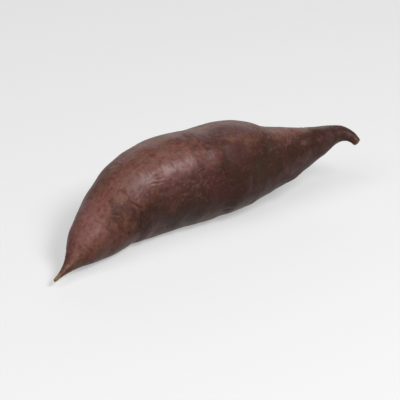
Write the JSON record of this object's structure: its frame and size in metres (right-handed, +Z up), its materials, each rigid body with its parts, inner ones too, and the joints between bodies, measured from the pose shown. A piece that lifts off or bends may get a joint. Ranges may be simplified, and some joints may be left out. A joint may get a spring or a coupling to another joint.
{
  "type": "sweet potato",
  "caption": "Whole sweet potato lying on its side: a swollen purple-brown root with a hooked neck at one end and a thin tail at the other.",
  "frame": {"origin": "middle of the root's box, on the surface that it lies on", "axes": "+X from the tail end to the hooked neck, +Z up; both ends bow to -Y"},
  "size_m": [0.2196, 0.0628, 0.0561],
  "materials": {
    "skin": "thin dry rosy mauve to brown skin, mottled, with a soft sheen"
  },
  "bodies": {
    "root": {"sweet_potato": "skin"}
  },
  "joints": []
}
